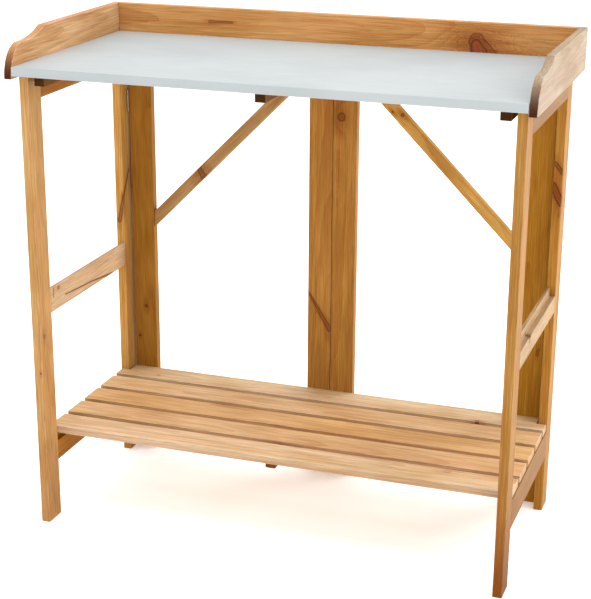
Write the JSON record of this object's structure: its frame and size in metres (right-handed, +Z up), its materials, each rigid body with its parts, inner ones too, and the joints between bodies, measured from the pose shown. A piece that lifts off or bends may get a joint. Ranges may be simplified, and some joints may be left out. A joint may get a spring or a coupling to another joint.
{
  "type": "potting bench",
  "caption": "Folding pine potting bench with a metal-faced worktop, raised edges on three sides and a slatted lower shelf.",
  "frame": {"origin": "on the floor, at the middle of the footprint of the whole bench", "axes": "+Z up, the bench faces -Y, +X is on the right as one stands at the worktop"},
  "size_m": [0.986, 0.48, 0.985],
  "materials": {
    "pine": "planed pine under a clear honey-toned oil, knots showing",
    "worktop_core": "raw wood-based board under the metal sheet",
    "worktop_sheet": "thin galvanised sheet with a pale satin coat, folded down over the front edge",
    "zinc_steel": "bright zinc plating"
  },
  "bodies": {
    "frame": {"left_frame_front_leg": "pine", "left_frame_rear_leg": "pine", "left_frame_top_rail": "pine", "left_frame_mid_rail": "pine", "left_frame_low_rail": "pine", "right_frame_front_leg": "pine", "right_frame_rear_leg": "pine", "right_frame_top_rail": "pine", "right_frame_mid_rail": "pine", "right_frame_low_rail": "pine", "back_left_outer_post": "pine", "back_left_centre_post": "pine", "back_left_top_rail": "pine", "back_left_low_rail": "pine", "back_left_brace": "pine", "back_right_outer_post": "pine", "back_right_centre_post": "pine", "back_right_top_rail": "pine", "back_right_low_rail": "pine", "back_right_brace": "pine", "hinge_left_upper_right_leaf": "zinc_steel", "hinge_left_upper_left_leaf": "zinc_steel", "hinge_left_upper_pin": "zinc_steel", "hinge_right_upper_right_leaf": "zinc_steel", "hinge_right_upper_left_leaf": "zinc_steel", "hinge_right_upper_pin": "zinc_steel", "hinge_seam_upper_right_leaf": "zinc_steel", "hinge_seam_upper_left_leaf": "zinc_steel", "hinge_seam_upper_pin": "zinc_steel", "hinge_left_lower_right_leaf": "zinc_steel", "hinge_left_lower_left_leaf": "zinc_steel", "hinge_left_lower_pin": "zinc_steel", "hinge_right_lower_right_leaf": "zinc_steel", "hinge_right_lower_left_leaf": "zinc_steel", "hinge_right_lower_pin": "zinc_steel", "hinge_seam_lower_right_leaf": "zinc_steel", "hinge_seam_lower_left_leaf": "zinc_steel", "hinge_seam_lower_pin": "zinc_steel"},
    "tabletop": {"top_board": "worktop_core", "top_sheet": "worktop_sheet", "top_upstand_back": "pine", "top_upstand_left": "pine", "top_upstand_right": "pine", "top_batten_left": "pine", "top_batten_middle": "pine", "top_batten_right": "pine"},
    "shelf": {"shelf_slat_1": "pine", "shelf_slat_2": "pine", "shelf_slat_3": "pine", "shelf_slat_4": "pine", "shelf_slat_5": "pine", "shelf_batten_left": "pine", "shelf_batten_middle": "pine", "shelf_batten_right": "pine"}
  },
  "joints": [
    {"name": "tabletop_lift", "type": "slide", "parent": "frame", "child": "tabletop", "axis": [0, 0, 1], "range_m": [0, 0.3]},
    {"name": "shelf_lift", "type": "slide", "parent": "frame", "child": "shelf", "axis": [0, 0, 1], "range_m": [0, 0.2]}
  ]
}
